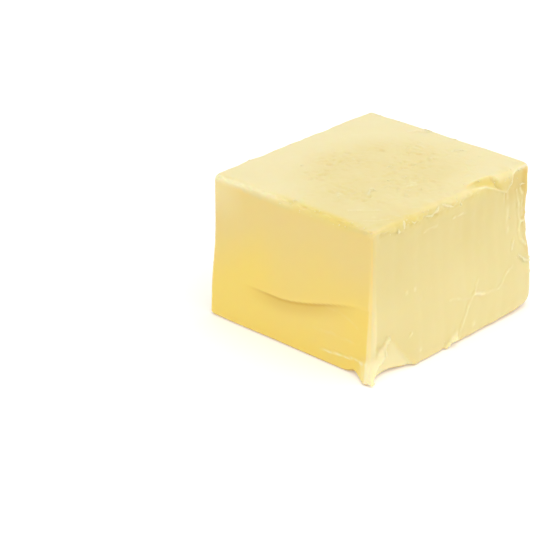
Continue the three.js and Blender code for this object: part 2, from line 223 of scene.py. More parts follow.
def sides_of(s):
    """For each side its outward direction, how far out it lies, and its distance from the opposite one."""
    return {
        "cut": ((-1, 0, 0), s.length / 2, s.length),
        "end": ((1, 0, 0), s.length / 2, s.length),
        "near": ((0, -1, 0), s.width / 2, s.width),
        "far": ((0, 1, 0), s.width / 2, s.width),
        "top": ((0, 0, 1), s.height, s.height),
        "base": ((0, 0, -1), 0, s.height),
    }


# The two sides that meet, the side that the edge's length is measured from, the radius in millimetres
# at that side and at the other end, and the power of the section: 2 is round and near 1 a flat bevel
EDGES = (
    ("near", "top", "cut", 0.9, 1.6, 1.7),
    ("far", "top", "cut", 2.4, 1.6, 2),
    ("near", "base", "cut", 0.9, 2.4, 2),
    ("far", "base", "cut", 1.4, 2.6, 2),
    ("cut", "top", "near", 1.1, 2.8, 1.7),
    ("end", "top", "near", 1.6, 1.8, 2),
    ("cut", "base", "near", 0.8, 1.2, 2),
    ("end", "base", "near", 6.5, 3, 2),
    ("cut", "near", "base", 1.9, 0.8, 1.15),
    ("cut", "far", "base", 1.5, 2.2, 2),
    ("end", "near", "base", 4.2, 2.4, 2),
    ("end", "far", "base", 3, 2, 2),
)
# How near an edge, in millimetres, its own radius counts for more than those of the others
CORNER_MIX = 3


def in_from(side, at, s):
    """How far points lie in from a side."""
    out, reach, _ = sides_of(s)[side]
    return reach - at @ np.array(out, float)


def from_edge(first, second, at, s):
    """How far points lie from the edge where two sides meet."""
    return np.hypot(in_from(first, at, s), in_from(second, at, s))


def rounded(at, s):
    """Points of the sharp block brought onto the rounded one, with the directions out of it."""
    total = np.zeros(len(at))
    radius = np.zeros(len(at))
    power = np.zeros(len(at))
    for first, second, start, radius_at_start, radius_at_end, section in EDGES:
        gap = from_edge(first, second, at, s)
        weight = 1 / (gap ** 2 + CORNER_MIX ** 2)
        along = in_from(start, at, s) / sides_of(s)[start][2]
        total += weight
        radius += weight * mixed(radius_at_start, radius_at_end, along)
        power += weight * section
    radius = (radius / total)[:, None]
    power = (power / total)[:, None]
    lowest = np.array([-s.length / 2, -s.width / 2, 0])
    highest = np.array([s.length / 2, s.width / 2, s.height])
    inner = np.clip(at, lowest + radius, highest - radius)
    away = at - inner
    reach = (np.abs(away) ** power).sum(1, keepdims=True) ** (1 / power)
    out = away / np.linalg.norm(away, axis=1, keepdims=True)
    return inner + away * radius / reach, out


def slumped(place, s):
    """The form that the block has sunk into, with the corner that the knife dragged out."""
    x, y, z = place.T
    low = fall(z, s.flare_full, s.flare_start)
    across = y / (s.width / 2)
    lengthwise = x / (s.length / 2)
    near_share = np.maximum(-across, 0) ** 2
    far_share = np.maximum(across, 0) ** 2
    foot = fall(from_edge("cut", "near", place, s), s.foot_toe, s.foot_width)
    foot *= fall(z, s.foot_toe / 2, s.foot_height)
    moved = place.copy()
    moved[:, 1] -= s.near_flare * low * near_share * smooth(x, -s.length / 2, s.upright_to)
    moved[:, 1] += s.far_flare * low * far_share
    moved[:, 1] += s.side_wave * uneven(x, 21, 1.3) * (far_share - near_share)
    moved[:, 0] += s.end_flare * low * np.maximum(lengthwise, 0) ** 4
    moved[:, 0] += s.cut_hollow * np.maximum(-lengthwise, 0) ** 4 * np.sin(np.pi * z / s.height)
    moved[:, 0] -= s.foot_drag * foot
    moved[:, 1] -= s.foot_spread * foot
    moved[:, 2] += s.top_crown * (z / s.height) ** 4 * (1 - across ** 2) * (1 - lengthwise ** 2)
    return moved


# Marks on the sides. A line runs through points given on its side: along and up on the near, far, cut
# and end sides, along and across on the top. After the line come the width and rough height of its crest in
# millimetres.
NEAR_CREASES = (
    (((33.5, 15.3), (31.5, 15.9), (28.7, 18.4)), 0.42, 0.36),
    (((25.4, 16.1), (23.2, 15), (21.5, 13.7), (20.2, 12.2), (18.6, 11.6)), 0.38, 0.3),
    (((18.6, 11.6), (14, 11.7), (10.3, 12.7), (7.5, 13.6)), 0.38, 0.36),
    (((7.5, 13.6), (5.4, 12.9), (3.1, 12.9), (0.2, 14.6), (-3.4, 15.4)), 0.36, 0.2),
    (((10, 17.2), (8.6, 14.6), (7.5, 13.6), (4.1, 9.8), (2.2, 5.6), (1, 2.5), (0.6, 0)), 0.38, 0.38),
    (((-0.2, 4), (-1.4, 2.9), (-3, 1.8), (-4.6, 0.7)), 0.75, 0.75),
    (((29.6, 38.5), (29.9, 36), (30.2, 32.9), (31, 28.6)), 0.4, 0.45),
    (((31.4, 38.7), (31.9, 37), (31.6, 33.4), (32.2, 30)), 0.45, 0.3),
    (((33.2, 28.6), (30.6, 28.3), (30, 25.8), (30.7, 22.9), (32.5, 20.8)), 0.4, 0.42),
    (((26, 21.2), (26.5, 22.6), (27.1, 23.8)), 0.35, 0.4),
    (((-28.8, 11.8), (-30.3, 9.6), (-32, 6.6), (-33, 2.9), (-34.2, 0.6)), 0.55, 0.8),
    (((-31.6, 7.4), (-32.7, 4.6), (-33.6, 2.2), (-34.6, 0.4)), 1.2, 0.7),
    (((-20.4, 11.1), (-21, 10.5), (-22, 9.6)), 0.3, 0.28),
    (((-0.9, 39.7), (1.9, 39.9), (5.6, 39)), 0.35, 0.22),
    (((-13.4, 39.2), (-10.6, 39.8), (-7.9, 39.4)), 0.35, 0.16),
    (((2.2, 44), (2.3, 42.2)), 0.35, 0.4),
    (((-12.6, 21.6), (-10.4, 21.4)), 0.35, 0.25),
    (((25.1, 41), (24.2, 33), (24.6, 26.8)), 0.8, 0.12),
)
# Small bumps, and pits with a height below zero: their place, radius and height in millimetres
NEAR_SPECKS = (
    ((-17.9, 23.4), 0.45, 0.4),
    ((-21.3, 23.4), 0.5, 0.3),
    ((7.1, 4.1), 0.7, 0.35),
    ((-16.9, 4.5), 0.5, 0.4),
    ((-1.9, 2.1), 1.4, 0.75),
    ((-14.6, 19.8), 0.5, -0.2),
    ((12.4, 27.5), 0.6, -0.15),
)
FAR_CREASES = (
    (((-34, 17), (-12, 15.6), (10, 17.2), (34, 16)), 0.5, 0.26),
    (((-19, 0), (-24, 9), (-21, 19)), 0.42, 0.24),
    (((8, 17), (14, 27), (13, 38)), 0.42, 0.2),
    (((-30, 44), (-21, 35), (-17, 20)), 0.4, 0.14),
    (((18, 3), (25, 8.5), (33, 9.6)), 0.4, 0.16),
)
END_CREASES = (
    (((-30, 43), (-14, 26), (-9, 9)), 0.5, 0.28),
    (((30, 43), (15, 27), (8, 9)), 0.5, 0.28),
    (((-29, 5), (-9, 9), (8, 9), (29, 4)), 0.5, 0.26),
    (((-14, 26), (-4, 29), (5, 28), (15, 27)), 0.4, 0.14),
)
CUT_MARKS = (
    (((-13.4, 17.6), (-17.6, 17.9), (-21.3, 17.1), (-25.4, 15)), 0.35, 0.08),
    (((-12, 3.8), (-17.8, 4.5), (-25.9, 5.1), (-29.5, 4.9)), 0.45, 0.26),
    (((-9, 9.6), (-16, 10.2), (-24, 9.9)), 0.5, 0.05),
)
TOP_STREAKS = (
    (((-28.7, -16), (-26.2, -19.1), (-22.6, -22.5)), 0.4, 0.28),
    (((-5.4, -17), (-3.2, -17.9), (-1.4, -18.3)), 0.4, 0.3),
    (((-4.6, -15.2), (-1.9, -17.1), (1.2, -16.4)), 0.4, 0.22),
    (((-17, -13.4), (-14.8, -12), (-12.6, -11.2)), 0.4, 0.3),
    (((25, -9), (28.3, -9.9)), 0.4, 0.22),
    (((29, 10.4), (31.7, 9.2), (32.4, 6)), 0.5, 0.3),
    (((-31, -24), (-28.4, -26.6), (-26, -28.6)), 0.4, 0.2),
)
TOP_SPECKS = (
    ((3.3, -3.5), 0.6, 0.18),
    ((-1.2, -16.4), 0.9, 0.24),
    ((-13.3, -11.7), 0.8, 0.21),
    ((-21.9, -6.6), 0.7, 0.21),
    ((-13.5, 15.7), 0.5, 0.15),
    ((-25.4, 13.1), 0.5, -0.12),
    ((0.7, 7.8), 0.5, 0.15),
    ((-17.3, 1.9), 0.5, 0.12),
    ((17.3, 1.7), 0.5, -0.12),
    ((-15.2, -16.2), 0.5, -0.15),
    ((16.6, -8.5), 0.6, 0.21),
    ((21.7, -11), 0.6, 0.18),
    ((28.4, -10.9), 0.8, 0.18),
    ((-7.8, -11.6), 0.6, -0.12),
    ((31.6, 6.8), 0.9, -0.18),
    ((-27.4, -24.5), 0.6, 0.21),
    ((6.4, 3.1), 0.5, 0.12),
    ((11.5, 8.6), 0.5, -0.12),
)
# Nicks in the rim over the cut face, by place across and depth, and their radius
RIM_NICKS = ((0.4, 0.6), (-4.4, 0.45), (-12.2, 0.22), (-20.8, 0.25), (-26.4, 0.3))
NICK_RADIUS = 1.4
# Places where the bottom edge is lifted off the surface: the side, the place along it, width and height
NOTCHES = (("near", -26.5, 3.6, 0.7), ("near", -1.9, 1.8, 0.9), ("cut", -24.5, 2, 1.1), ("far", 11, 3, 0.7))

# The fold of the wrapper pressed into the near side: its apex, its foot's two ends along the block, and half
# the width of its border in shape and in colour
FOLD_APEX = (-28.8, 11.8)
FOLD_FOOT = (-34.2, -19)
FOLD_BORDER = 0.6
FOLD_TINT_BORDER = 0.2
# The scoop along the near top edge: places along the block, and how far down the near side its upper and
# lower borders lie there, less than 0 where they lie on the top
SCOOP_UPPER = ((4, 9, 12.9, 18.5, 20, 22.7), (-1.5, -2.6, -3.2, -2.5, 1.5, 5.6))
SCOOP_LOWER = ((4, 9, 13.9, 19.6, 22.7), (-0.3, 0.3, 1.5, 4.1, 5.8))
# Where along the block it grows to its full depth, how wide it is where it is that deep, and how far under
# the surface it ends
SCOOP_FULL = (4, 14)
SCOOP_WIDE = 4
SCOOP_SKIN = (1, 4)
# From the scoop on, the lip's lower border is drawn: it sinks to the tip of the flake and rises again
LIP_DRAWN = ((9, 13.9, 19.6, 22.7, 23.2, 25, 26, 28.9, 33.4), (1.2, 1.6, 4.1, 5.9, 5, 3.1, 1.5, 0.6, 0.4))
LIP_DRAWN_FROM = (7, 10)
LIP_DRAWN_EDGE = 0.22
# The flake curls out most at this place along the block, over this half width
FLAKE_CURL = (23.9, 2.2)
# The recess under the drawn lip, between the flake and the wrapped end: where it starts, is full and ends
# along the block, where it starts and is full up the side, its depth, and half its upper border
RECESS_ALONG = (22.4, 24, 32, 34.6)
RECESS_UP = (35, 39.5)
RECESS_DEPTH = 0.75
RECESS_EDGE = 0.25
# The lip is shallow at both ends of the block and hangs lower in one lobe near the cut face, given by its
# place, half width and drop. Its border also wanders in waves.
LIP_AT_ENDS = 0.7
LIP_TAPER = (24, 35)
LIP_LOBE = (-23.4, 2.3, 1.2)
LIP_WAVES = ((9, 0.55, 0.7), (3.7, 0.22, 2), (1.6, 0.12, 0.4))
# The knife's step: its height at the near side and further across, the share of the width over which it
# sinks to that, where across it fades out, and half the height of its slope
KNIFE_LINE = (21.6, 14.2)
KNIFE_SINKS = 0.6
KNIFE_FADE = (4, 20)
KNIFE_EDGE = 0.32
# Above its line the knife rolled the face out, and along the line it left a groove, both as shares of the
# step. The roll has its share, its height above the line and its half width. The groove has its shares at its
# two ends, the places across between which it deepens, how far below the line it lies and its half width.
KNIFE_ROLL = (0.5, 2.2, 2)
KNIFE_GROOVE = ((0.2, 0.8), (-30, -8), 0.1, 0.35)
# The patch of the top that was pressed on by the grainy paper: its centre and its half sizes
PEBBLED = ((-1, -5), (31, 24))
PAPER_LUMPS = ((1.3, 1, 2), (0.8, 0.8, 3))
# The crumpled stretch of the near side beside the wrapped end: where it starts and is full along the block,
# where it starts, is full and ends up the side, and the height of its folds
CRUMPLED_ALONG = (27, 33)
CRUMPLED_UP = (17, 24, 37, 43)
CRUMPLE_HEIGHT = 0.38
# Rows of lumps: their size in millimetres, one number or one for each direction, their height and the layer
SOFT_LUMPS = ((9, 0.16, 6), (3.6, 0.08, 7), (1.5, 0.03, 8))
PLEATS = (((2.6, 2.6, 24), 0.045, 9),)
KNIFE_DRAG = (((9, 2.2, 30), 0.05, 10), (11, 0.06, 11))
LIP_LUMPS = ((1.2, 0.45, 12), (2.8, 0.5, 13))
RIM_LUMPS = ((4.5, 0.45, 14), (2, 0.25, 15))
RIM_CHIPS = ((1.5, 0.5, 27), (3.4, 0.3, 28))
FOOT_LUMPS = ((2.6, 0.4, 16), (1.2, 0.15, 17))
# The pale rim over the cut face: its depth, how much deeper it is at one place across and over what half
# width, and the waves of its border, each with length, height and start
RIM_DEPTH = 1.3
RIM_SAG = 1.1
RIM_SAG_AT = (8, 10)
RIM_WAVES = ((13, 0.5, 0.4), (3.1, 0.2, 2))
# The height at which a crest's painted highlight is as pale as it gets
PALE_CREST = 0.45
# How strongly each place is tinted, from 0 to 1. The third row is all painted shade; in the first, the crest
# and border tints are painted highlights and the tint towards the top's edges a painted sheen.
PALE = SimpleNamespace(crest=0.9, bevel_high=0.05, bevel_low=0.6, top_sheen=0.5, fold=0.75, rim=0.5, far_edge=0.4,
                       foot=0.45, border=0.55, flakes=0.55)
RICH = SimpleNamespace(smear=0.6, scoop=0.6, rim=0.85)
SHADE = SimpleNamespace(groove=0.7, under_step=0.65, recess=0.25, corner_shade=0.5, pits=0.06)


def onto_side(side, along, other, s):
    """A point of a side from its two places on it."""
    out, reach, _ = sides_of(s)[side]
    if side in ("near", "far"):
        return np.array([along, out[1] * reach, other])
    if side in ("cut", "end"):
        return np.array([out[0] * reach, along, other])
    return np.array([along, other, reach])


def line_distance(at, line):
    """How far points lie from a line through corners."""
    nearest = np.full(len(at), np.inf)
    for start, end in zip(line, line[1:]):
        stretch = end - start
        share = np.clip((at - start) @ stretch / (stretch @ stretch), 0, 1)
        nearest = np.minimum(nearest, np.linalg.norm(at - start - share[:, None] * stretch, axis=1))
    return nearest


def creases(at, side, marks, s):
    """Height of a side's creases: a narrow crest along each line, and the soft hollow beside it."""
    height = np.zeros(len(at))
    for line, width, crest in marks:
        away = line_distance(at, [onto_side(side, *corner, s) for corner in line])
        height += crest * (1.2 * hump(away, 0, width) - 0.25 * hump(away, 0, 3 * width))
    return height


def wandering(at, s):
    """The points moved a little this way and that, so that lines drawn through them wander."""
    sway = np.column_stack([grain(at, 2.6, 20), grain(at, 2.6, 21), grain(at, 2.6, 22)])
    return at + s.line_wander * sway


def broken(at):
    """How much of a crease is left from place to place: it thins, breaks off and starts again."""
    return 0.4 + 1.2 * smooth(grain(at, 2.2, 23) + 0.5 * grain(at, 0.9, 24), -0.3, 0.35)


def specks(at, side, marks, s):
    """Height of a side's small bumps and pits."""
    height = np.zeros(len(at))
    for centre, radius, lift in marks:
        away = np.linalg.norm(at - onto_side(side, *centre, s), axis=1)
        height += lift * hump(away, 0, radius)
    return height


def lip_drop(x, s):
    """How far down the near side the lip hangs, along the block."""
    middle_share = fall(np.abs(x), *LIP_TAPER)
    place, width, drop = LIP_LOBE
    even = mixed(LIP_AT_ENDS, s.lip_depth, middle_share) + drop * hump(x, place, width)
    even += waves(x, LIP_WAVES) * middle_share
    return mixed(even, np.interp(x, *LIP_DRAWN), smooth(x, *LIP_DRAWN_FROM))


def lip_out(at, s):
    """The lip stands out most at its lower border and ends there in a step."""
    x, _, z = at.T
    drop = lip_drop(x, s)
    down = s.height - z
    out = s.lip_out + s.flake_out * hump(x, *FLAKE_CURL)
    edge = mixed(s.lip_edge, LIP_DRAWN_EDGE, smooth(x, *LIP_DRAWN_FROM))
    return out * np.minimum(down / drop, 1) * fall(down, drop - edge, drop + edge)


def scoop(at, s):
    """Depth of the scoop, a hollow between its two borders that deepens along the edge."""
    x = at[:, 0]
    down = in_from("top", at, s) - in_from("near", at, s)
    upper, lower = np.interp(x, *SCOOP_UPPER), np.interp(x, *SCOOP_LOWER)
    gap = np.maximum(lower - upper, 0.01)
    share = np.clip((down - upper) / gap, 0, 1)
    along = smooth(x, *SCOOP_FULL) * np.minimum(gap / SCOOP_WIDE, 1) ** 1.5 * (x < SCOOP_UPPER[0][-1])
    skin = fall(np.minimum(in_from("near", at, s), in_from("top", at, s)), *SCOOP_SKIN)
    return s.scoop_depth * along * skin * np.sin(np.pi * share ** 0.85) ** 0.9


def recess(at, s):
    """How much of the recess beside the flake lies at a place, from 0 to 1."""
    x, _, z = at.T
    along = smooth(x, *RECESS_ALONG[:2]) * fall(x, *RECESS_ALONG[2:])
    under_lip = smooth(s.height - z - lip_drop(x, s), -RECESS_EDGE, RECESS_EDGE)
    return along * smooth(z, *RECESS_UP) * under_lip


def fold(at, s, edge):
    """Depth of the fold's print, deepest at the base and running out at its apex."""
    x, _, z = at.T
    share = z / FOLD_APEX[1]
    left = mixed(FOLD_FOOT[0], FOLD_APEX[0], share)
    right = mixed(FOLD_FOOT[1], FOLD_APEX[0], share)
    inside = smooth(x, left - edge, left + edge) * fall(x, right - edge, right + edge)
    return s.fold_depth * np.maximum(1 - share, 0) * inside * fall(in_from("near", at, s), 0, s.fold_reach)


def knife_line(y, s):
    """Height of the line where the knife was pushed on, across the cut face."""
    return mixed(*KNIFE_LINE, smooth((y + s.width / 2) / s.width, 0, KNIFE_SINKS))


def knife_step(at, s):
    """How much further in the cut face lies under the knife's line."""
    _, y, z = at.T
    line = knife_line(y, s)
    roll, rise, roll_width = KNIFE_ROLL
    ends, deepens, sunk, groove_width = KNIFE_GROOVE
    below = smooth(line - z, -KNIFE_EDGE, KNIFE_EDGE)
    rolled = roll * hump(z, line + rise, roll_width)
    groove = mixed(*ends, smooth(y, *deepens)) * hump(z, line - sunk, groove_width)
    return s.knife_step * (below - rolled + groove) * fall(y, *KNIFE_FADE)


def patch_reach(at):
    """How far out in the top's grainy patch points lie: 0 in its middle and 1 at its rim."""
    (centre_x, centre_y), (half_x, half_y) = PEBBLED
    return np.hypot((at[:, 0] - centre_x) / half_x, (at[:, 1] - centre_y) / half_y)


def pebbles(at, s):
    """Height of the grain on the top: small humps with pits between them, inside one soft patch."""
    patch = fall(patch_reach(at), 0.65, 1.2) * mixed(0.35, 1, smooth(grain(at, 7, 1), -0.25, 0.3))
    pits = smooth(grain(at, 2.1, 4), 0.28, 0.45)
    return s.pebble_height * patch * (lumps(at, PAPER_LUMPS) - 1.1 * pits), patch, pits


def crumples(at, s):
    """Height of the sharp little folds that the wrapper's corner left beside the wrapped end."""
    x, _, z = at.T
    share = smooth(x, *CRUMPLED_ALONG) * smooth(z, *CRUMPLED_UP[:2]) * fall(z, *CRUMPLED_UP[2:])
    folded = (1 - np.abs(grain(at, (3.4, 3.4, 5), 5)) / 0.6) ** 7
    return CRUMPLE_HEIGHT * share * (folded - 0.25)


def fine_relief(at, out, s):
    """The finer relief of each side in millimetres, its marks alone, and shares of patch, pits and cut."""
    near, far = np.maximum(-out[:, 1], 0), np.maximum(out[:, 1], 0)
    cut, end = np.maximum(-out[:, 0], 0), np.maximum(out[:, 0], 0)
    top = np.maximum(out[:, 2], 0)
    base = smooth(-out[:, 2], 0.5, 0.9)
    swayed = wandering(at, s)
    crests = creases(swayed, "near", NEAR_CREASES, s) * near + creases(swayed, "far", FAR_CREASES, s) * far
    crests += creases(swayed, "end", END_CREASES, s) * end + creases(swayed, "cut", CUT_MARKS, s) * cut
    crests += creases(swayed, "top", TOP_STREAKS, s) * top
    crests *= broken(at)
    marks = specks(at, "near", NEAR_SPECKS, s) * near + specks(at, "top", TOP_SPECKS, s) * top
    grainy, patch, pits = pebbles(at, s)
    wrapped = 1 - smooth(cut, 0.5, 0.95)
    height = crests + marks + grainy * top + crumples(at, s) * near
    height += wrapped * (lumps(at, SOFT_LUMPS) + lumps(at, PLEATS) * (near + far))
    height += (1 - wrapped) * lumps(at, KNIFE_DRAG)
    height *= 1 - base
    return height, crests + marks, patch * top, pits * patch * top, smooth(cut, 0.55, 0.97)


def ragged_lip(at, s):
    """Small lumps and tears in the lip, strongest at its lower border."""
    down = s.height - at[:, 2]
    drop = lip_drop(at[:, 0], s)
    share = fall(np.abs(down - drop), 0.2, 1.8) * fall(np.abs(at[:, 0]), 31, 35)
    share *= mixed(1, 0.35, smooth(at[:, 0], *LIP_DRAWN_FROM))
    return share * lumps(at, LIP_LUMPS)


def smeared_rim(at, s):
    """Soft lumps of butter smeared along the near top edge, on the top and on the lip."""
    share = fall(from_edge("near", "top", at, s), 1.5, 7.5)
    share *= mixed(1, 0.5, smooth(at[:, 0], *LIP_DRAWN_FROM))
    return share * lumps(at, RIM_LUMPS)


def chipped_rim(at, s):
    """Small chips along the rim over the cut face, where the knife went in."""
    return fall(from_edge("cut", "top", at, s), 0.4, 2.4) * lumps(at, RIM_CHIPS)


def torn_foot(at, s):
    """Lumps where the dragged corner tore."""
    share = fall(from_edge("cut", "near", at, s), 2, 6) * fall(at[:, 2], 3, 8)
    return share * lumps(at, FOOT_LUMPS)


def formed(at, s):
    """Where points of the sharp block end up, and the shares that the material reads."""
    place, out = rounded(at, s)
    height, crests, patch, pits, cut_share = fine_relief(at, out, s)
    toward_near = np.maximum(-out[:, 1], 0)
    lip = lip_out(at, s)
    pressed = scoop(at, s)
    # The scoop was pressed smooth, so that few lumps are left in it
    untouched = 1 - 0.85 * np.minimum(1.6 * pressed / s.scoop_depth, 1)
    height += (lip + ragged_lip(at, s) * untouched) * toward_near
    height += smeared_rim(at, s) * untouched + torn_foot(at, s) + chipped_rim(at, s)
    height -= RECESS_DEPTH * recess(at, s) * toward_near
    height -= knife_step(at, s) * np.maximum(-out[:, 0], 0)
    for place_across, depth in RIM_NICKS:
        away = np.linalg.norm(at - np.array([-s.length / 2, place_across, s.height]), axis=1)
        height -= depth * hump(away, 0, NICK_RADIUS)
    moved = slumped(place, s) + out * height[:, None]
    moved[:, 1] += pressed + fold(at, s, FOLD_BORDER)
    moved[:, 2] -= pressed
    for side, along, width, lift in NOTCHES:
        foot = onto_side(side, along, 0, s)
        moved[:, 2] += lift * hump(np.linalg.norm(at - foot, axis=1), 0, width)
    moved[:, 2] = np.maximum(moved[:, 2], 0)
    down = s.height - at[:, 2] - rim_depth(at[:, 1])
    return moved, {
        "pebbled": patch,
        "cut_face": cut_share * smooth(down, -0.5, 0.9),
        "upright": fall(out[:, 2], 0.35, 0.8),
        # How low a point lies, a little cloudy: by it the sides get painted shade high up, and the cut face
        # richer butter and painted light low down
        "low": np.clip(fall(at[:, 2], 12, 40) + 0.45 * grain(at, 17, 19), 0, 1),
        "rich": richness(at, pressed / s.scoop_depth, s),
        # Painted shade in the knife's groove and under its step, the recess, the top's pits and by the
        # wrapped end
        "groove": np.clip(painted_shade(at, s) + SHADE.pits * pits, 0, 1),
        # Pale tints, with painted highlights on crests and the lip's lower border and painted sheen on the
        # top's edges
        "thin": pale_tints_and_highlights(at, np.clip(crests / PALE_CREST, 0, 1), s),
        # Painted shade where the block curls under to its base
        "contact_shade": smooth(-out[:, 2], 0.4, 0.75),
    }


# Tints of the butter, with its painted highlights, sheen and shade. Where a tint fades, its two numbers are
# places or reaches in millimetres: where it starts to change and where it has changed.

def rim_depth(y):
    """How far down the cut face the pale rim under the top reaches, across the block."""
    return RIM_DEPTH + RIM_SAG * hump(y, *RIM_SAG_AT) + waves(y, RIM_WAVES)


def pale_tints_and_highlights(at, crest, s):
    """How pale the butter is: on crests as painted highlights, on the knife's bevel, and towards the top's
    edges as a painted sheen.
    """
    x, y, z = at.T
    from_cut_edge = from_edge("cut", "near", at, s)
    low = fall(z, 4, 40)
    bevel = mixed(PALE.bevel_high, PALE.bevel_low, low)
    bevel *= fall(from_cut_edge, mixed(0.9, 1.9, low), mixed(1.3, 2.5, low))
    folded = PALE.fold * (fold(at, s, FOLD_TINT_BORDER) / s.fold_depth) ** 0.4
    # Painted sheen: the top is painted paler towards its edges, except by the near corner
    top_sheen = smooth(patch_reach(at), 0.55, 1.25) * smooth(from_cut_edge, 12, 42) * fall(s.height - z, 0.5, 3)
    top_sheen *= PALE.top_sheen * (1 - scoop(at, s) / s.scoop_depth)
    rim = fall(from_edge("cut", "top", at, s), 0.4, 1.9) * smooth(y, -4, 10)
    rim *= PALE.rim * (0.6 + grain(at, 3, 26))
    far_edge = fall(in_from("cut", at, s), 0.5, 1.5) * smooth(y, 16, 30) * smooth(z, 30, 42)
    foot = fall(from_cut_edge, 2.5, 5) * fall(z, 3, 8)
    # The lip's lower border is painted paler: a painted highlight along its edge
    border = hump(s.height - z - lip_drop(x, s), -0.35, 0.45) * smooth(x, 9, 13)
    border *= fall(in_from("near", at, s), 0.3, 1)
    edges = PALE.far_edge * far_edge + PALE.foot * foot + PALE.border * border
    return np.clip(PALE.crest * crest + bevel + folded + top_sheen + rim + edges, 0, 1)


def richness(at, scooped, s):
    """How rich the butter is: in the scoop, in the smear along the near top edge, and at the rim."""
    x, y, _ = at.T
    smear = fall(from_edge("near", "top", at, s), 1, 6) * (0.6 + grain(at, 5, 18)) * smooth(x, -34, -26)
    rim = fall(from_edge("cut", "top", at, s), 0.8, 4) * fall(y, 4, 13) * smooth(y, -31, -18)
    return np.clip(RICH.smear * smear + RICH.scoop * scooped ** 0.6 + RICH.rim * rim, 0, 1)


def painted_shade(at, s):
    """Painted shade: in and under the knife's groove, in the recess, and on the near side's strip by the
    wrapped end.
    """
    x, y, z = at.T
    line = knife_line(y, s)
    on_face = fall(y, *KNIFE_FADE) * fall(in_from("cut", at, s), 0.5, 1.5) * smooth(y, -31, -6)
    # Painted shade along the knife's groove, and painted shadow under its step
    groove = SHADE.groove * hump(z, line - KNIFE_GROOVE[2], 0.4)
    groove += SHADE.under_step * smooth(z, line - 6, line) * fall(z, line, line + 0.4)
    # Painted shade in the recess under the lip, and on the strip that turns away from the light by the
    # wrapped end
    hollow = SHADE.recess * recess(at, s) + SHADE.corner_shade * smooth(x, 31, 34) * smooth(z, 12, 20)
    return on_face * groove + hollow * fall(in_from("near", at, s), 0.5, 4)


# Slivers: thin tapered flakes that stand on the surface, each along a line on its side. Side, line,
# width, thickness and lift off the surface at its middle, in millimetres.
SLIVERS = (
    ("near", ((-6.4, 45.6), (-4.2, 44.6), (-2.6, 43.9), (-0.3, 42.9)), 0.7, 0.35, 0.05),
    ("near", ((-6.9, 45.5), (-8.3, 44.4), (-10.4, 43.6), (-12.9, 43.9)), 0.9, 0.5, 0.06),
    ("near", ((-22.6, 45.9), (-22.4, 44.6), (-22.8, 43.2)), 1.1, 0.6, 0.07),
    ("near", ((-24.6, 44.2), (-24.9, 43.1), (-24.2, 42.2)), 0.7, 0.4, 0.04),
    ("near", ((-19.6, 44.6), (-18.4, 43.8), (-17.3, 43.9)), 0.7, 0.35, 0.04),
    ("near", ((2.2, 44.1), (2.4, 42.4)), 0.5, 0.35, 0.05),
    ("near", ((23.4, 41.6), (24.9, 43.2), (26, 44.9)), 0.6, 0.4, 0.04),
    ("near", ((28.9, 45.6), (31.2, 45.2), (33.2, 45.6)), 0.8, 0.4, 0.05),
    ("near", ((28.5, 18.6), (30, 17.2), (31.6, 15.9), (33.4, 15.5)), 0.9, 0.45, 0.06),
    ("near", ((-30.6, 9.3), (-31.2, 8.2), (-31.8, 7)), 0.9, 0.4, 0.04),
    ("near", ((31.1, 39.2), (31.9, 39.9), (33.4, 39.8)), 0.6, 0.35, 0.04),
    ("near", ((33.6, 16.4), (34.9, 15.4), (35.2, 14)), 0.9, 0.7, 0.1),
    ("near", ((35.2, 11.9), (35.2, 10.3)), 0.8, 0.7, 0.1),
    ("top", ((-4.6, -16.3), (-2.9, -17), (-1.4, -17.5)), 0.9, 0.27, 0.04),
    ("top", ((2.1, -3.8), (3.4, -3.4), (4.6, -3.5)), 0.6, 0.24, 0.03),
    ("top", ((-14.4, -11.3), (-13.2, -11.9), (-12.4, -12.9)), 0.7, 0.24, 0.04),
    ("top", ((-22.6, -6.2), (-21.2, -7.1)), 0.6, 0.24, 0.03),
    ("top", ((-14, 15.9), (-13, 15.4)), 0.5, 0.2, 0.02),
    ("top", ((0.1, 8), (1.3, 7.5)), 0.5, 0.2, 0.02),
    ("top", ((21, -10.6), (22.6, -11.5)), 0.6, 0.24, 0.03),
    ("top", ((27.4, -9.9), (28.3, -10.9), (28.6, -12.3)), 0.7, 0.24, 0.04),
    ("top", ((27.2, -16.9), (28.9, -18.3)), 0.5, 0.2, 0.024),
    ("top", ((33.3, 19.9), (33.7, 18.3), (33.4, 16.9)), 0.7, 0.31, 0.05),
    ("top", ((30.1, 8.7), (30.8, 7.3), (30.5, 6.1)), 0.5, 0.2, 0.03),
    ("top", ((34, 9.3), (34.4, 7), (34, 4.9)), 0.8, 0.34, 0.06),
    ("top", ((33.9, -2.3), (34.3, -4.1)), 0.6, 0.27, 0.04),
    ("top", ((34.1, -13), (34.3, -15.1), (33.9, -16.2)), 0.6, 0.27, 0.04),
    ("top", ((33.9, 26.9), (34.2, 25.4)), 0.6, 0.27, 0.04),
    ("top", ((30.3, -27.4), (31.6, -28.4), (32.4, -29.7)), 0.9, 0.34, 0.05),
    ("top", ((-33.6, 0.8), (-33, -0.2), (-32.9, -1.9)), 0.8, 0.31, 0.05),
    ("top", ((-21.4, 30.2), (-19.6, 30.4)), 0.6, 0.27, 0.04),
    ("top", ((2.8, 30.1), (4.4, 30.3)), 0.6, 0.27, 0.04),
    ("top", ((-17.2, -13.6), (-15, -12.3), (-12.9, -11.4)), 0.5, 0.2, 0.024),
    ("top", ((-23.6, -6.9), (-22.3, -7.4)), 0.5, 0.2, 0.02),
    ("top", ((16.2, -7.8), (17.6, -8.5)), 0.6, 0.24, 0.024),
    ("top", ((25.2, -8.9), (28.3, -10)), 0.4, 0.17, 0.02),
    ("top", ((31.9, 8.4), (32.8, 6.2), (33, 4.4)), 0.8, 0.27, 0.04),
)
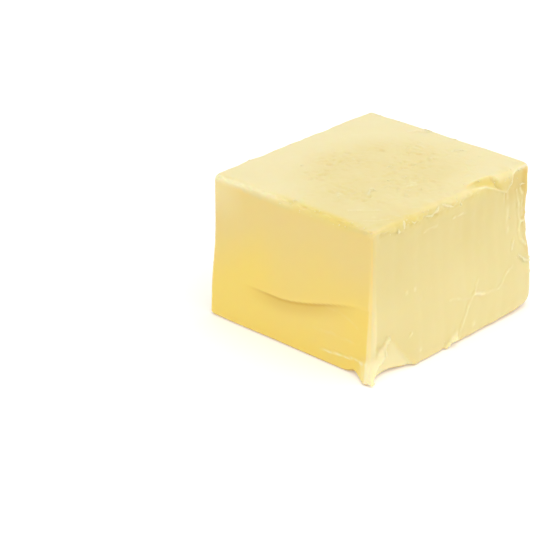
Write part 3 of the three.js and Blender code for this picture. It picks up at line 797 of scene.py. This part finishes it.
# Crumbs: where they lie thickest, as side, first and last place along, lowest and highest, and how many
CRUMB_FIELDS = (
    ("near", -30, 30, 43, 45.6, 26),
    ("near", -6, 3, 2, 5, 3),
    ("near", 24, 34, 14, 44, 7),
    ("top", -34, 33, -30.8, -28.6, 8),
    ("top", -35, -33.4, -29, 6, 9),
    ("top", -30, 24, -28, -8, 16),
    ("cut", -29, 4, 43.8, 45.4, 7),
)
CRUMB_LENGTH = (0.3, 0.8)
CRUMB_WIDTH = (0.25, 0.5)
CRUMB_THICKNESS = (0.3, 0.5)
CRUMB_LIFT = (0, 0.02)
# Each sliver has a section of so many sides and steps of this length. It is sunk into the block by a share of
# its thickness and tapers to a share of its size at its tips.
SECTION_SIDES = 8
SLIVER_STEP = 0.22
FEWEST_STEPS = 6
SUNK = 0.2
TIP_SHARE = 0.12
FIRST_SLIVER_LAYER = 30
# How far a sliver's section departs from even, as a share of its size: along its length and over its skin
ROUGH_ALONG = 0.9
ROUGH_SKIN = 0.9


def sliver(line, width, thickness, lift, layer, s):
    """Points and faces of one thin tapered flake along a line of places on the sharp block."""
    corners = np.array(line)
    runs = np.concatenate([[0], np.cumsum(np.linalg.norm(np.diff(corners, axis=0), axis=1))])
    steps = max(FEWEST_STEPS, int(runs[-1] / SLIVER_STEP))
    share = np.linspace(0, 1, steps + 1)
    at = np.column_stack([np.interp(share * runs[-1], runs, corners[:, axis]) for axis in range(3)])
    centre = formed(at, s)[0]
    out = rounded(at, s)[1]
    ahead = np.gradient(centre, axis=0)
    across = np.cross(out, ahead)
    across /= np.linalg.norm(across, axis=1, keepdims=True)
    taper = mixed(TIP_SHARE, 1, np.sin(np.pi * share) ** 0.7) * (1 + ROUGH_ALONG * grain(at, 0.9, layer))
    raised = lift * np.sin(np.pi * share) * (1 + grain(at, 1.4, layer + 1)) - SUNK * thickness
    turn = 2 * np.pi * np.arange(SECTION_SIDES) / SECTION_SIDES
    spine = centre + out * raised[:, None]
    ring_shape = across[:, None] * np.cos(turn)[:, None] * width / 2
    ring_shape = ring_shape + out[:, None] * np.sin(turn)[:, None] * thickness / 2
    points = (spine[:, None] + taper[:, None, None] * ring_shape).reshape(-1, 3)
    from_centre = points - np.repeat(centre, SECTION_SIDES, axis=0)
    points = points + from_centre * (ROUGH_SKIN * grain(points, 0.55, layer + 2))[:, None]
    points[:, 2] = np.maximum(points[:, 2], 0)
    ring = np.arange(SECTION_SIDES)
    onward = np.roll(ring, -1)
    faces = [tuple(reversed(range(SECTION_SIDES)))]
    for step in range(steps):
        low, high = step * SECTION_SIDES, (step + 1) * SECTION_SIDES
        quads = np.column_stack([low + ring, low + onward, high + onward, high + ring])
        faces += [tuple(quad) for quad in quads]
    faces.append(tuple(steps * SECTION_SIDES + ring))
    return points, faces


def crumb_lines(seed, count_share):
    """Short lines for the crumbs, drawn at random within their fields."""
    draw = np.random.default_rng(seed)
    for side, first, last, lowest, highest, count in CRUMB_FIELDS:
        for _ in range(round(count * count_share)):
            along, other = draw.uniform(first, last), draw.uniform(lowest, highest)
            turn, length = draw.uniform(0, np.pi), draw.uniform(*CRUMB_LENGTH)
            reach = np.array([np.cos(turn), np.sin(turn)]) * length / 2
            line = ((along - reach[0], other - reach[1]), (along + reach[0], other + reach[1]))
            sizes = [draw.uniform(*span) for span in (CRUMB_WIDTH, CRUMB_THICKNESS, CRUMB_LIFT)]
            yield side, line, *sizes


# Mesh

SAMPLES_PER_CELL = 40


def crowded_steps(low, high, cells, crowds):
    """Places from low to high, closer together round each crowd of centre, reach and gain."""
    even = np.linspace(low, high, SAMPLES_PER_CELL * cells)
    density = 1 + sum(gain * hump(even, centre, reach) for centre, reach, gain in crowds)
    share = np.concatenate([[0], np.cumsum((density[1:] + density[:-1]) / 2)])
    return np.interp(np.linspace(0, share[-1], cells + 1), share, even)


def shell(xs, ys, zs):
    """Points and four-sided faces of a sharp box divided at places along, across and up."""
    inside = np.zeros((len(xs), len(ys), len(zs)), bool)
    inside[1:-1, 1:-1, 1:-1] = True
    number = np.full(inside.shape, -1)
    number[~inside] = np.arange(np.count_nonzero(~inside))
    i, j, k = np.nonzero(~inside)
    points = np.column_stack([xs[i], ys[j], zs[k]])
    sheets = (number[-1], number[0].T, number[:, 0], number[:, -1].T, number[:, :, -1], number[:, :, 0].T)
    faces = [np.stack([a[:-1, :-1], a[1:, :-1], a[1:, 1:], a[:-1, 1:]], -1).reshape(-1, 4) for a in sheets]
    return points, np.concatenate(faces)


def mesh_object(name, points, faces, material):
    """A smooth-shaded object from points in metres and its faces."""
    if not np.isfinite(points).all():
        raise ValueError(f"{name} has points without a place")
    mesh = bpy.data.meshes.new(name)
    mesh.from_pydata(points.tolist(), [], [list(face) for face in faces])
    mesh.polygons.foreach_set("use_smooth", [True] * len(mesh.polygons))
    mesh.materials.append(material)
    mesh.update()
    piece = bpy.data.objects.new(name, mesh)
    bpy.context.scene.collection.objects.link(piece)
    return piece


def add_shares(piece, shares):
    """Numbers from 0 to 1 kept on the points for the material."""
    for name, values in shares.items():
        attribute = piece.data.attributes.new(name, "FLOAT", "POINT")
        attribute.data.foreach_set("value", np.asarray(values, np.float32))


def seated(moved, s):
    """Places in metres, with the block's middle over the middle of the CAD solid."""
    low, high = (np.array(corner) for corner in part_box("butter_block"))
    middle = (low + high) / 2 / MM
    return (moved + np.array([middle[0] - s.middle_along, middle[1] - s.middle_across, 0])) * MM


def block_points(s, cells):
    """The block's points in millimetres, its faces and its shares, with finer cells at edges and marks."""
    # Each crowd of cells has its place, its reach in millimetres and how much denser it is there
    xs = crowded_steps(-s.length / 2, s.length / 2, cells.cells_along,
                       ((-s.length / 2, 4, 1.3), (s.length / 2, 4, 1), (23.5, 4, 0.7)))
    ys = crowded_steps(-s.width / 2, s.width / 2, cells.cells_across,
                       ((-s.width / 2, 5, 1.3), (s.width / 2, 3, 0.9)))
    zs = crowded_steps(0, s.height, cells.cells_up, ((s.height, 5, 1.6), (0, 3, 1.2), (14, 5, 0.3)))
    at, faces = shell(xs, ys, zs)
    moved, shares = formed(at, s)
    return moved, faces, shares


# Materials

BUTTER = "Churned butter, wrapper pressed and knife cut"


def per_metre(millimetres):
    """The scale of a texture whose pattern repeats after so many millimetres."""
    return 1 / (millimetres * MM)


def add_node(tree, kind, inputs=(), **settings):
    """A node with its settings, and with values or links on its sockets."""
    node = tree.nodes.new(kind)
    for name, value in settings.items():
        setattr(node, name, value)
    for socket, value in dict(inputs).items():
        if isinstance(value, bpy.types.NodeSocket):
            tree.links.new(value, node.inputs[socket])
        else:
            node.inputs[socket].default_value = value
    return node


def churned_butter(context):
    """Churned butter, pressed by its wrapper and cut by a knife.

    Light goes about a millimetre into it, which softens every edge and deepens the colour in hollows.
    The wrapper leaves a pale satin skin with a fine grain, and the knife a richer and smoother face.
    Crests, the lip's lower border and the flakes are painted paler, as painted highlights and as the light
    that passes through thin butter. The knife's groove and step, the recess, the top's pits, the strip by the
    wrapped end and the curl under the base get painted shade.
    """
    hues = context.scene.butter_colours
    material = bpy.data.materials.new(BUTTER)
    material.use_nodes = True
    tree = material.node_tree
    tree.nodes.clear()
    place = add_node(tree, "ShaderNodeTexCoord").outputs["Object"]
    names = ("cut_face", "groove", "low", "pebbled", "rich", "thick", "thin", "contact_shade", "upright")
    shares = {name: add_node(tree, "ShaderNodeAttribute", attribute_name=name).outputs["Fac"]
              for name in names}
    # Clouds of slightly richer butter, about 14 mm across, as churning leaves them
    clouds = add_node(tree, "ShaderNodeTexNoise", {"Vector": place, "Scale": per_metre(14), "Detail": 3,
                                                   "Roughness": 0.45})
    cloud_share = add_node(tree, "ShaderNodeMapRange", {"Value": clouds.outputs["Fac"], "From Min": 0.36,
                                                        "From Max": 0.66})
    # The top in clouds, the sides with painted shade high up, the cut face richer and with painted light low
    # down
    layers = (
        (cloud_share.outputs[0], (*hues.top, 1), (*hues.top_rich, 1)),
        (shares["low"], (*hues.side_high_shaded, 1), (*hues.side_low, 1)),
        (shares["low"], (*hues.cut_high, 1), (*hues.cut_low_rich_and_lit, 1)),
    )
    top, side, cut = (add_node(tree, "ShaderNodeMix", {0: share, 6: first, 7: second}, data_type="RGBA")
                      for share, first, second in layers)
    # The wrapped skin is laid over by the cut face, then by rich smears, painted shade, pale tints with
    # painted highlights and sheen, and painted shade where the block curls under to its base
    base = top.outputs[2]
    for share, over in (("upright", side.outputs[2]), ("cut_face", cut.outputs[2]),
                        ("rich", (*hues.smeared, 1)), ("groove", (*hues.groove, 1)),
                        ("thin", (*hues.thin, 1)), ("contact_shade", (*hues.under, 1))):
        base = add_node(tree, "ShaderNodeMix", {0: shares[share], 6: base, 7: over},
                        data_type="RGBA").outputs[2]
    # Satin skin: patches about 3 mm across where the paper pressed it smoother or rougher, and a little
    # rougher again on the top's grainy patch
    patches = add_node(tree, "ShaderNodeTexNoise", {"Vector": place, "Scale": per_metre(3), "Detail": 2})
    roughness = add_node(tree, "ShaderNodeMapRange", {"Value": patches.outputs["Fac"], "From Min": 0.3,
                                                      "From Max": 0.7, "To Min": 0.36, "To Max": 0.5})
    rougher = add_node(tree, "ShaderNodeMath", {0: shares["pebbled"], 1: 0.12, 2: roughness.outputs[0]},
                       operation="MULTIPLY_ADD")
    # The paper's grain is finer than a tenth of a millimetre, drawn at 0.5 mm so that it shows
    paper = add_node(tree, "ShaderNodeTexNoise", {"Vector": place, "Scale": per_metre(0.5), "Detail": 2})
    bump = add_node(tree, "ShaderNodeBump", {"Strength": 0.35, "Distance": 0.03 * MM,
                                             "Height": paper.outputs["Fac"]})
    skin = add_node(tree, "ShaderNodeBsdfPrincipled", {
        "Base Color": base, "Roughness": rougher.outputs[0], "IOR": 1.46,
        "Normal": bump.outputs["Normal"], "Subsurface Weight": shares["thick"],
        "Subsurface Radius": (1.0, 0.75, 0.4), "Subsurface Scale": 1.2 * MM,
    })
    add_node(tree, "ShaderNodeOutputMaterial", {"Surface": skin.outputs["BSDF"]})
    return material


def butter_material(context):
    """The butter, made once and shared by its pieces."""
    return bpy.data.materials.get(BUTTER) or churned_butter(context)


def lit_table(context):
    """White acrylic table top, moulded and lit from below, which keeps shadows faint and clean."""
    material = bpy.data.materials.new("White acrylic, lit from below")
    material.use_nodes = True
    tree = material.node_tree
    tree.nodes.clear()
    hue = (*context.scene.butter_colours.floor, 1)
    top = add_node(tree, "ShaderNodeBsdfPrincipled", {
        "Base Color": hue, "Roughness": 0.8, "Specular IOR Level": 0.0, "Emission Color": hue,
        "Emission Strength": context.scene.butter_studio.floor_glow,
    })
    add_node(tree, "ShaderNodeOutputMaterial", {"Surface": top.outputs["BSDF"]})
    return material


# Operators

# A full frame, in millimetres
SENSOR_WIDTH = 36


class BUTTER_OT_block(bpy.types.Operator):
    """Make the block of butter in place of its plain solid"""

    bl_idname = "butter.make_block"
    bl_label = "Butter block"

    def execute(self, context):
        s = in_mm(context.scene.butter_shape)
        moved, faces, shares = block_points(s, context.scene.butter_mesh)
        shares["thick"] = np.ones(len(moved))
        piece = mesh_object("butter_brick", seated(moved, s), faces, butter_material(context))
        add_shares(piece, shares)
        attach(piece, "root")
        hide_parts("butter_block")
        return {"FINISHED"}


class BUTTER_OT_flakes(bpy.types.Operator):
    """Make the flakes and crumbs that cling to the block's edges"""

    bl_idname = "butter.make_flakes"
    bl_label = "Flakes and crumbs"

    def execute(self, context):
        s = in_mm(context.scene.butter_shape)
        cells = context.scene.butter_mesh
        points, faces, used = [], [], 0
        rows = list(SLIVERS) + list(crumb_lines(cells.crumb_seed, cells.crumb_share))
        for number, (side, line, width, thickness, lift) in enumerate(rows):
            places = [onto_side(side, *corner, s) for corner in line]
            new_points, new_faces = sliver(places, width, thickness, lift, FIRST_SLIVER_LAYER + number, s)
            points.append(new_points)
            faces += [tuple(used + corner for corner in face) for face in new_faces]
            used += len(new_points)
        piece = mesh_object("butter_flakes", seated(np.concatenate(points), s), faces,
                            butter_material(context))
        # The flakes are painted pale, as painted light for the light that passes through thin butter
        add_shares(piece, {"thin": np.full(used, PALE.flakes)})
        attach(piece, "root")
        return {"FINISHED"}


class BUTTER_OT_studio(bpy.types.Operator):
    """Make the pale floor, the soft light and the camera"""

    bl_idname = "butter.make_studio"
    bl_label = "Studio"

    def execute(self, context):
        studio = context.scene.butter_studio
        half = studio.floor_size / 2
        corners = np.array([(-half, -half, 0), (half, -half, 0), (half, half, 0), (-half, half, 0)])
        mesh_object("floor", corners, [(0, 1, 2, 3)], lit_table(context))
        self.add_light(context, studio)
        self.add_camera(context, studio)
        context.scene.view_settings.view_transform = "Standard"
        return {"FINISHED"}

    def add_light(self, context, studio):
        """Even light from all round, and a square softbox turned to the block."""
        world = bpy.data.worlds.new("Soft white room")
        world.use_nodes = True
        sky = world.node_tree.nodes["Background"]
        sky.inputs["Color"].default_value = (*context.scene.butter_colours.light, 1)
        sky.inputs["Strength"].default_value = studio.sky
        context.scene.world = world
        lamp = bpy.data.lights.new("softbox", "AREA")
        lamp.size = studio.softbox_size
        lamp.energy = studio.key
        lamp.color = context.scene.butter_colours.light
        softbox = bpy.data.objects.new("softbox", lamp)
        softbox.location = studio.softbox_place
        softbox.rotation_euler = Vector(softbox.location).to_track_quat("Z", "Y").to_euler()
        context.scene.collection.objects.link(softbox)

    def add_camera(self, context, studio):
        """The camera at its place, looking down at the block's near side and cut face."""
        lens = bpy.data.cameras.new("camera")
        lens.lens = studio.focal_length
        lens.sensor_width = SENSOR_WIDTH
        lens.clip_start = 0.01
        level, down = math.cos(studio.elevation), math.sin(studio.elevation)
        back = Vector((math.sin(studio.azimuth) * level, -math.cos(studio.azimuth) * level, down))
        camera = bpy.data.objects.new("camera", lens)
        turn = back.to_track_quat("Z", "Y").to_matrix().to_4x4()
        camera.matrix_world = Matrix.Translation(studio.place) @ turn
        context.scene.collection.objects.link(camera)
        context.scene.camera = camera


class BUTTER_PT_panel(bpy.types.Panel):
    """Butter in the sidebar of the 3D view"""

    bl_label = "Block of butter"
    bl_idname = "BUTTER_PT_panel"
    bl_space_type = "VIEW_3D"
    bl_region_type = "UI"
    bl_category = "Butter"

    def draw(self, context):
        for operator in OPERATORS:
            self.layout.operator(operator.bl_idname)
        for group in GROUPS:
            box = self.layout.box()
            values = getattr(context.scene, group)
            for name in values.__annotations__:
                box.prop(values, name)


GROUPS = {"butter_shape": ButterShape, "butter_mesh": ButterMesh, "butter_colours": ButterColours,
          "butter_studio": ButterStudio}
OPERATORS = (BUTTER_OT_block, BUTTER_OT_flakes, BUTTER_OT_studio)


def register():
    """Add the property groups to the scene, and the operators and the panel to Blender."""
    for name, group in GROUPS.items():
        bpy.utils.register_class(group)
        setattr(bpy.types.Scene, name, PointerProperty(type=group))
    for operator in OPERATORS:
        bpy.utils.register_class(operator)
    bpy.utils.register_class(BUTTER_PT_panel)


def unregister():
    """Take out again what register added."""
    bpy.utils.unregister_class(BUTTER_PT_panel)
    for operator in reversed(OPERATORS):
        bpy.utils.unregister_class(operator)
    for name, group in reversed(GROUPS.items()):
        delattr(bpy.types.Scene, name)
        bpy.utils.unregister_class(group)


def main():
    """Make the block, its flakes and the studio."""
    register()
    bpy.ops.butter.make_block()
    bpy.ops.butter.make_flakes()
    bpy.ops.butter.make_studio()


if __name__ == "__main__":
    main()
